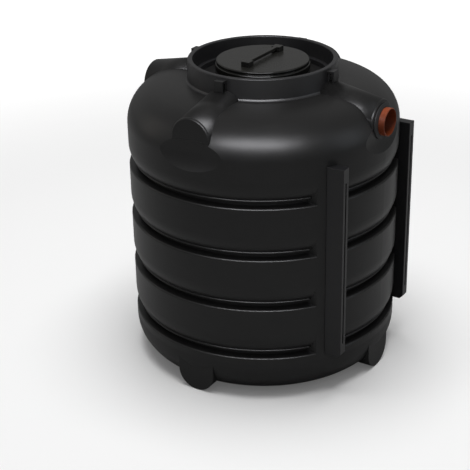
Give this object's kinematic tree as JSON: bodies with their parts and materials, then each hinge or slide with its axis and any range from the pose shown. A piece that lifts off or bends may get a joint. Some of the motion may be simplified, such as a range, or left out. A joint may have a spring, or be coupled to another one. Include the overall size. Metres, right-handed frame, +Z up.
{
  "type": "septic tank",
  "caption": "Round upright moulded plastic tank with a grooved wall, a domed top with pipe bosses, a collar round a lift-off lid, and a pipe stub.",
  "frame": {"origin": "middle of the tank's flat bottom, on the floor under its axis", "axes": "+Z up along the tank's axis, +X along the outlet stub, -Y towards the plain boss in front"},
  "size_m": [1.115, 1.1, 1.2666],
  "materials": {
    "black_plastic": "satin moulded polyethylene",
    "orange_pipe": "smooth extruded pipe",
    "seal_rubber": "matt rubber"
  },
  "bodies": {
    "tank": {"base_shell": "black_plastic", "boss_front": "black_plastic", "boss_inlet": "black_plastic", "boss_outlet": "black_plastic", "boss_rear": "black_plastic", "collar_floor": "black_plastic", "collar_step": "black_plastic", "collar_wall": "black_plastic", "dome_crown": "black_plastic", "dome_shell": "black_plastic", "foot_front": "black_plastic", "foot_inlet": "black_plastic", "foot_outlet": "black_plastic", "foot_rear": "black_plastic", "lid_seal": "seal_rubber", "lifting_lug_front": "black_plastic", "lifting_lug_inlet": "black_plastic", "lifting_lug_outlet": "black_plastic", "lifting_lug_rear": "black_plastic", "manhole_neck": "black_plastic", "outlet_seal": "seal_rubber", "outlet_stub": "orange_pipe", "side_rail_left": "black_plastic", "side_rail_right": "black_plastic", "wall_ring_1": "black_plastic", "wall_ring_2": "black_plastic", "wall_ring_3": "black_plastic", "wall_ring_4": "black_plastic"},
    "lid": {"lid": "black_plastic", "lid_handle": "black_plastic"}
  },
  "joints": [
    {"name": "lid_lift", "type": "slide", "parent": "tank", "child": "lid", "axis": [0, 0, 1], "range_m": [0, 0.5]}
  ]
}
